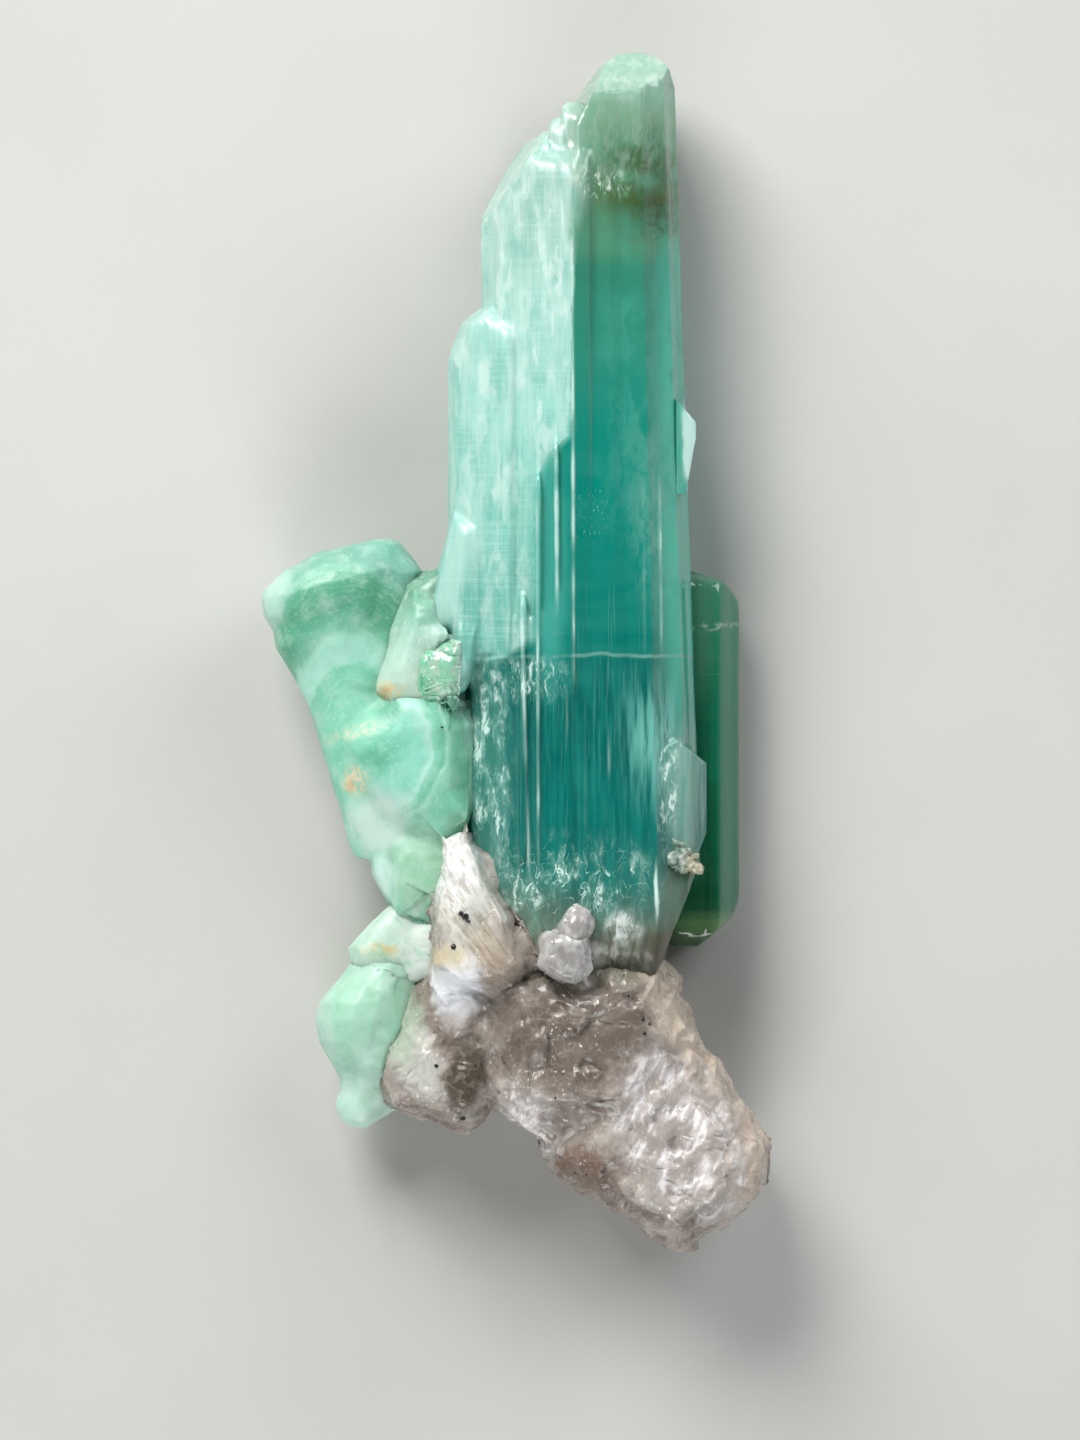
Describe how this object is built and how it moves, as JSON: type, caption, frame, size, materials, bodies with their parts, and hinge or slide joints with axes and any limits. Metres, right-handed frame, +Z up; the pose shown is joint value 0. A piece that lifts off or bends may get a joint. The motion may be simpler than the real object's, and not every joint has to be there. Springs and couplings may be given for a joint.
{
  "type": "tourmaline crystal specimen",
  "caption": "Striated blue-green prismatic crystal of parallel columns with smaller green crystals at its side, rooted in a broken lump of quartz, lying on its back.",
  "frame": {"origin": "centre of the specimen's bounding box, on the surface that it rests on", "axes": "+Y along the main crystal towards its tip, +X to its right, +Z up from the rear face that it rests on"},
  "size_m": [0.0396, 0.0926, 0.0166],
  "materials": {
    "main_crystal": "gloss",
    "side_crystal": "gloss",
    "flared_crystal": "satin",
    "pale_crystal": "satin",
    "glassy_crystal": "gloss",
    "wedge_crystal": "satin",
    "rounded_crystal": "satin",
    "quartz_crystal": "gloss",
    "druse": "satin",
    "quartz_matrix": "satin"
  },
  "bodies": {
    "root": {"main_crystal": "main_crystal", "side_crystal": "side_crystal", "flared_crystal": "flared_crystal", "pale_crystal": "pale_crystal", "glassy_crystal": "glassy_crystal", "wedge_crystal": "wedge_crystal", "rounded_crystal": "rounded_crystal", "quartz_crystal": "quartz_crystal", "druse": "druse", "quartz_matrix": "quartz_matrix"}
  },
  "joints": []
}
